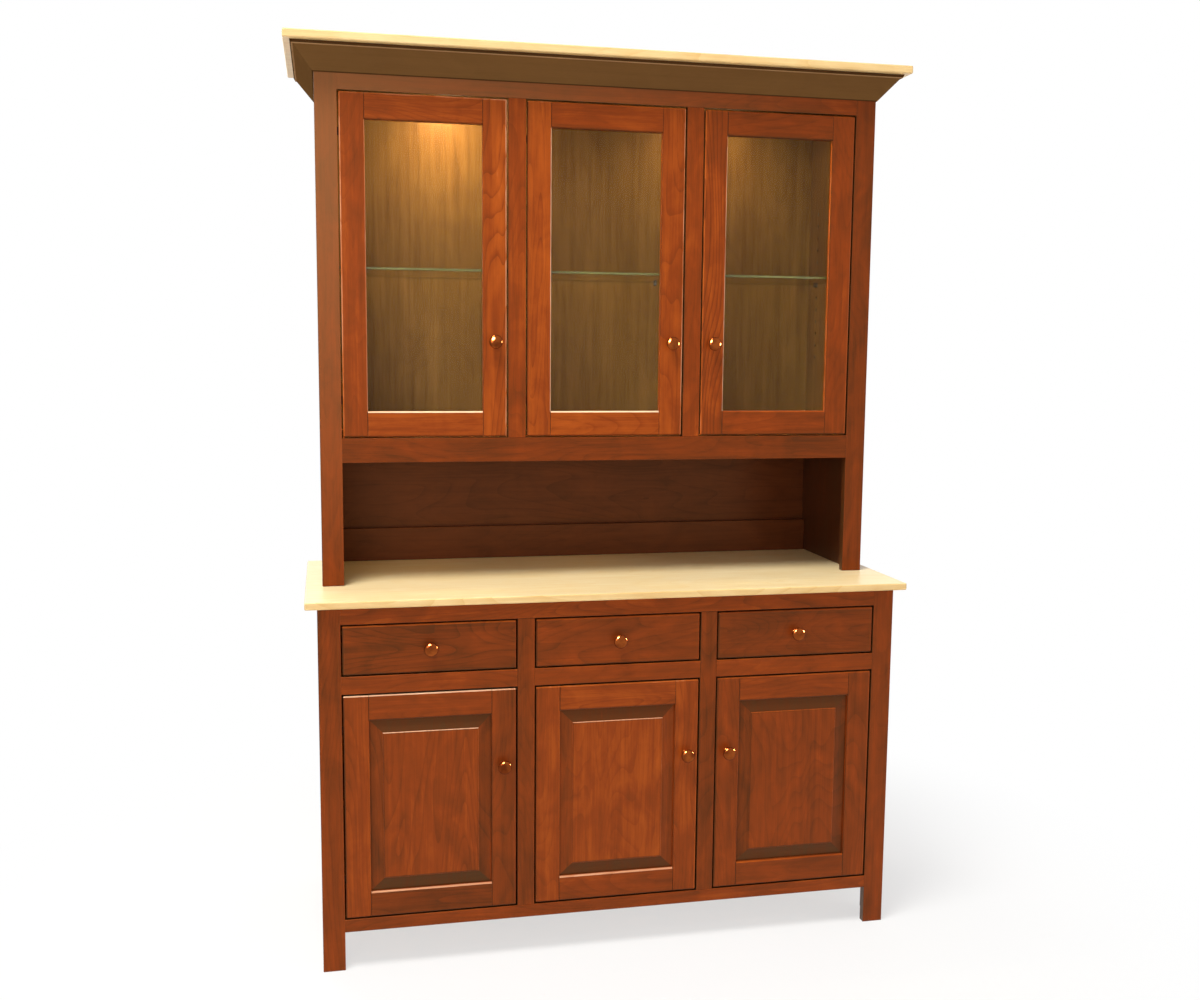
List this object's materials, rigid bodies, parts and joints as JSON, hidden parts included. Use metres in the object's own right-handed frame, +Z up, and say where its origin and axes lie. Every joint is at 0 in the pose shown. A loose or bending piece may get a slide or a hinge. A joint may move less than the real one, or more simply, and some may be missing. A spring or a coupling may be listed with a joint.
{
  "type": "step back cupboard",
  "caption": "Step back cupboard: a base of panelled doors and drawers under a counter, and a shallower glazed hutch with an open niche above it.",
  "frame": {"origin": "on the floor, under the middle of the box that holds the whole cupboard", "axes": "+X to the viewer's right along the front, +Y from the front to the back, +Z up"},
  "size_m": [1.478, 0.571, 2.107],
  "materials": {
    "cherry_case": "reddish brown stain under satin lacquer",
    "dark_back": "dark brown stain, satin",
    "maple_top": "clear satin lacquer on pale maple",
    "inside_wood": "plain birch, thin clear lacquer",
    "clear_glass": "clear, slightly green at the edge",
    "bronze_knob": "polished dark copper bronze",
    "hinge_steel": "nickel plated"
  },
  "bodies": {
    "case": {"base_face_frame": "cherry_case", "base_left_side": "cherry_case", "base_right_side": "cherry_case", "base_back": "inside_wood", "base_floor": "inside_wood", "base_shelf": "inside_wood", "drawer_deck": "inside_wood", "drawer_divider_left": "inside_wood", "drawer_divider_right": "inside_wood", "countertop": "maple_top", "hutch_face_frame": "cherry_case", "hutch_left_side": "cherry_case", "hutch_right_side": "cherry_case", "hutch_back": "dark_back", "hutch_floor": "cherry_case", "niche_back_rail": "dark_back", "glass_shelf": "clear_glass", "crown_front": "cherry_case", "crown_left": "cherry_case", "crown_right": "cherry_case", "top_board": "maple_top"},
    "glass_door_left": {"glass_door_left_frame": "cherry_case", "glass_door_left_glass": "clear_glass", "glass_door_left_knob": "bronze_knob", "glass_door_left_hinge_top": "hinge_steel", "glass_door_left_hinge_bottom": "hinge_steel"},
    "glass_door_middle": {"glass_door_middle_frame": "cherry_case", "glass_door_middle_glass": "clear_glass", "glass_door_middle_knob": "bronze_knob", "glass_door_middle_hinge_top": "hinge_steel", "glass_door_middle_hinge_bottom": "hinge_steel"},
    "glass_door_right": {"glass_door_right_frame": "cherry_case", "glass_door_right_glass": "clear_glass", "glass_door_right_knob": "bronze_knob", "glass_door_right_hinge_top": "hinge_steel", "glass_door_right_hinge_bottom": "hinge_steel"},
    "base_door_left": {"base_door_left_frame": "cherry_case", "base_door_left_panel": "cherry_case", "base_door_left_knob": "bronze_knob", "base_door_left_hinge_top": "hinge_steel", "base_door_left_hinge_bottom": "hinge_steel"},
    "base_door_middle": {"base_door_middle_frame": "cherry_case", "base_door_middle_panel": "cherry_case", "base_door_middle_knob": "bronze_knob", "base_door_middle_hinge_top": "hinge_steel", "base_door_middle_hinge_bottom": "hinge_steel"},
    "base_door_right": {"base_door_right_frame": "cherry_case", "base_door_right_panel": "cherry_case", "base_door_right_knob": "bronze_knob", "base_door_right_hinge_top": "hinge_steel", "base_door_right_hinge_bottom": "hinge_steel"},
    "drawer_left": {"drawer_left_front": "cherry_case", "drawer_left_box": "inside_wood", "drawer_left_knob": "bronze_knob"},
    "drawer_middle": {"drawer_middle_front": "cherry_case", "drawer_middle_box": "inside_wood", "drawer_middle_knob": "bronze_knob"},
    "drawer_right": {"drawer_right_front": "cherry_case", "drawer_right_box": "inside_wood", "drawer_right_knob": "bronze_knob"}
  },
  "joints": [
    {"name": "glass_door_left_swing", "type": "hinge", "parent": "case", "child": "glass_door_left", "pos_m": [-0.6225, -0.0885, 1.60325], "axis": [0, 0, -1], "range_deg": [0, 105]},
    {"name": "glass_door_middle_swing", "type": "hinge", "parent": "case", "child": "glass_door_middle", "pos_m": [-0.1925, -0.0885, 1.60325], "axis": [0, 0, -1], "range_deg": [0, 105]},
    {"name": "glass_door_right_swing", "type": "hinge", "parent": "case", "child": "glass_door_right", "pos_m": [0.6225, -0.0885, 1.60325], "axis": [0, 0, 1], "range_deg": [0, 105]},
    {"name": "base_door_left_swing", "type": "hinge", "parent": "case", "child": "base_door_left", "pos_m": [-0.6345, -0.2605, 0.385], "axis": [0, 0, -1], "range_deg": [0, 105]},
    {"name": "base_door_middle_swing", "type": "hinge", "parent": "case", "child": "base_door_middle", "pos_m": [-0.19717, -0.2605, 0.385], "axis": [0, 0, -1], "range_deg": [0, 105]},
    {"name": "base_door_right_swing", "type": "hinge", "parent": "case", "child": "base_door_right", "pos_m": [0.6345, -0.2605, 0.385], "axis": [0, 0, 1], "range_deg": [0, 105]},
    {"name": "drawer_left_slide", "type": "slide", "parent": "case", "child": "drawer_left", "axis": [0, -1, 0], "range_m": [0, 0.35]},
    {"name": "drawer_middle_slide", "type": "slide", "parent": "case", "child": "drawer_middle", "axis": [0, -1, 0], "range_m": [0, 0.35]},
    {"name": "drawer_right_slide", "type": "slide", "parent": "case", "child": "drawer_right", "axis": [0, -1, 0], "range_m": [0, 0.35]}
  ]
}
